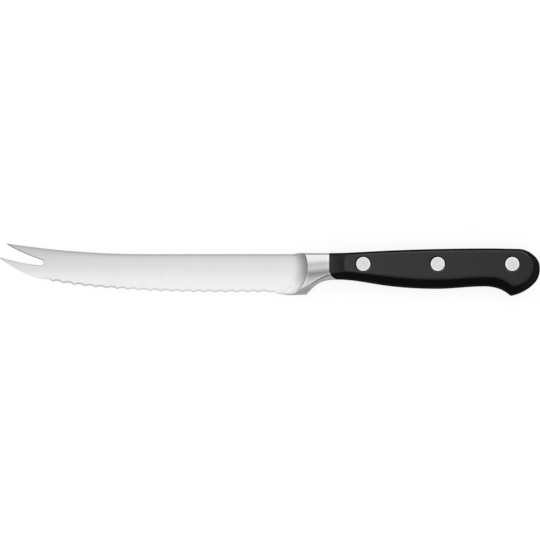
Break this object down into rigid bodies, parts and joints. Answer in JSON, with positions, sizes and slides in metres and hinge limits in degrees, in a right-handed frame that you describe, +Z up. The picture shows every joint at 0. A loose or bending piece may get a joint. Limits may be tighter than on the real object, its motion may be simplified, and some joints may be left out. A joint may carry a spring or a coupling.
{
  "type": "tomato knife",
  "caption": "Tomato knife with a forked tip, a scalloped cutting edge, a forged bolster with finger guard, a full tang and a riveted black two-scale handle, lying on its side.",
  "frame": {"origin": "under the middle of the knife's bounding box, on the surface that its right handle scale lies on", "axes": "+X along the knife from the tip to the butt, +Y from the cutting edge towards the spine, +Z up, out of the pictured left face"},
  "size_m": [0.254, 0.0246, 0.014],
  "materials": {
    "forged_steel": "satin ground blade faces, polished bolster",
    "black_scale": "smooth satin black plastic",
    "rivet_metal": "flat ground heads"
  },
  "bodies": {
    "root": {"forged_blade": "forged_steel", "handle_scale_left": "black_scale", "handle_scale_right": "black_scale", "rivet_stud_front": "rivet_metal", "rivet_stud_middle": "rivet_metal", "rivet_stud_rear": "rivet_metal", "rivet_socket_front": "rivet_metal", "rivet_socket_middle": "rivet_metal", "rivet_socket_rear": "rivet_metal"}
  },
  "joints": []
}
